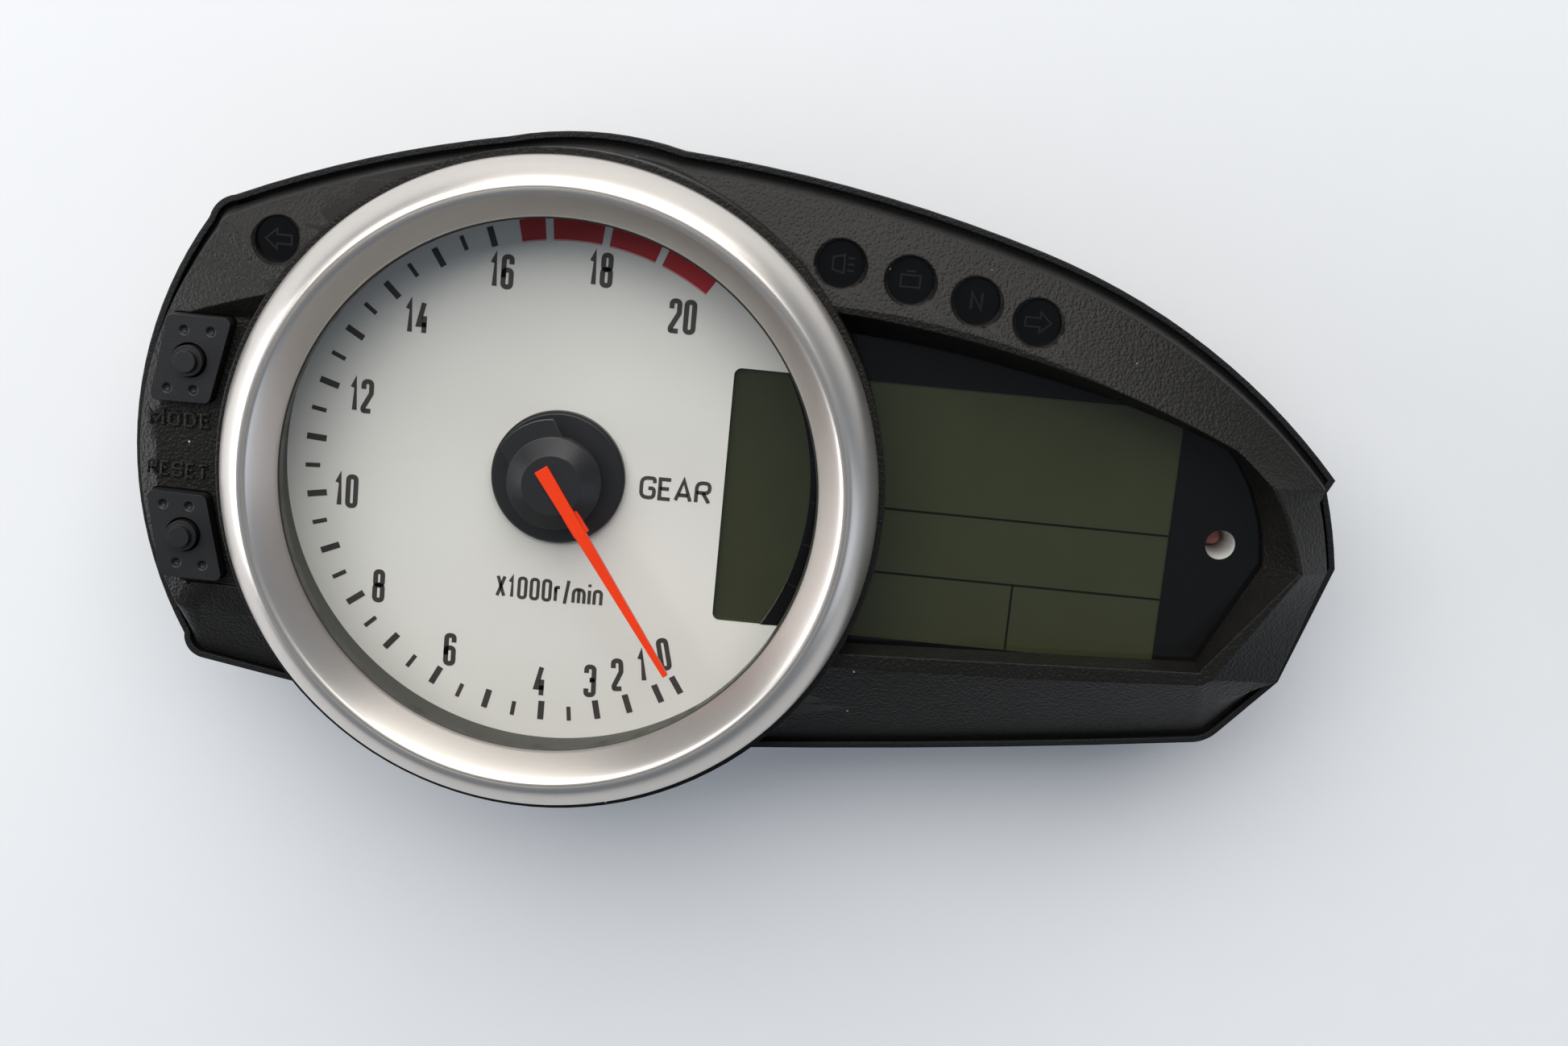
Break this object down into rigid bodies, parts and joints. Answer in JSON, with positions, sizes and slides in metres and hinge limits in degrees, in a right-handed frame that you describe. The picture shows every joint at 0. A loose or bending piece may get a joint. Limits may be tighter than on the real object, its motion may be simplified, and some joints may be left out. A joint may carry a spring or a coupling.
{
  "type": "motorcycle instrument cluster",
  "caption": "Motorcycle instrument cluster with a round analogue rev counter, a liquid crystal display, warning lamps and push buttons in a sealed case with rubber rear mounts.",
  "frame": {"origin": "middle of the footprint, on the plane of the three rear sleeve ends that the part lies on", "axes": "+X right along the display as the rider reads it, +Y up the dial, +Z out of the dial towards the rider"},
  "size_m": [0.222, 0.1217, 0.0587],
  "materials": {
    "cover_black": "coarse moulded grain",
    "rear_black": "fine moulded grain",
    "ring_silver": "satin silver paint",
    "lens_clear": "clear polished",
    "seal_rubber": "matte",
    "dial_white": "satin printed",
    "pointer_black": "satin",
    "mask_black": "gloss printed",
    "display_green": "gloss",
    "white_plastic": "satin",
    "light_guide": "clear",
    "board_green": "solder resist",
    "motor_black": "satin",
    "steel": "zinc plated",
    "needle_orange": "gloss",
    "pad_rubber": "satin",
    "lamp_red": "gloss",
    "connector_white": "satin",
    "pin_brass": "bright",
    "lamp_lens": "smoked",
    "led_clear": "gloss"
  },
  "bodies": {
    "housing": {"bezel_ring": "ring_silver", "board_screws": "steel", "case_screws": "steel", "case_seal": "seal_rubber", "circuit_board": "board_green", "connector_header": "connector_white", "connector_pins": "pin_brass", "dial_disc": "pointer_black", "dial_light_guide": "light_guide", "dial_plate": "dial_white", "display_lens": "lens_clear", "display_mask": "mask_black", "front_cover": "cover_black", "indicator_led_1": "led_clear", "indicator_led_2": "led_clear", "indicator_led_3": "led_clear", "indicator_led_4": "led_clear", "indicator_led_5": "led_clear", "indicator_lens_1": "lamp_lens", "indicator_lens_2": "lamp_lens", "indicator_lens_3": "lamp_lens", "indicator_lens_4": "lamp_lens", "indicator_lens_5": "lamp_lens", "lamp_led": "lamp_red", "lamp_tube": "white_plastic", "lcd_frame": "white_plastic", "lcd_panel": "display_green", "lens_seal": "seal_rubber", "light_guide": "light_guide", "mode_pad": "pad_rubber", "mode_switch": "motor_black", "mount_collar_1": "steel", "mount_collar_2": "steel", "mount_collar_3": "steel", "mount_cup_1": "rear_black", "mount_cup_2": "rear_black", "mount_cup_3": "rear_black", "mount_damper_1": "pad_rubber", "mount_damper_2": "pad_rubber", "mount_damper_3": "pad_rubber", "rear_cover": "rear_black", "reset_pad": "pad_rubber", "reset_switch": "motor_black", "stepper_motor": "motor_black", "tach_lens": "lens_clear", "vent_cap": "rear_black", "zebra_lower": "seal_rubber", "zebra_upper": "seal_rubber"},
    "pointer": {"pointer_shaft": "steel", "pointer_cap": "pointer_black", "needle": "needle_orange"},
    "mode": {"mode_button": "pad_rubber", "mode_plunger": "white_plastic"},
    "reset": {"reset_button": "pad_rubber", "reset_plunger": "white_plastic"}
  },
  "joints": [
    {"name": "pointer_turn", "type": "hinge", "parent": "housing", "child": "pointer", "pos_m": [-0.0326, -0.0013, 0.038], "axis": [0, 0, -1], "range_deg": [0, 247.3]},
    {"name": "mode_press", "type": "slide", "parent": "housing", "child": "mode", "axis": [0, 0, -1], "range_m": [0, 0.0008], "stiffness_N_per_m": 900},
    {"name": "reset_press", "type": "slide", "parent": "housing", "child": "reset", "axis": [0, 0, -1], "range_m": [0, 0.0008], "stiffness_N_per_m": 900}
  ]
}
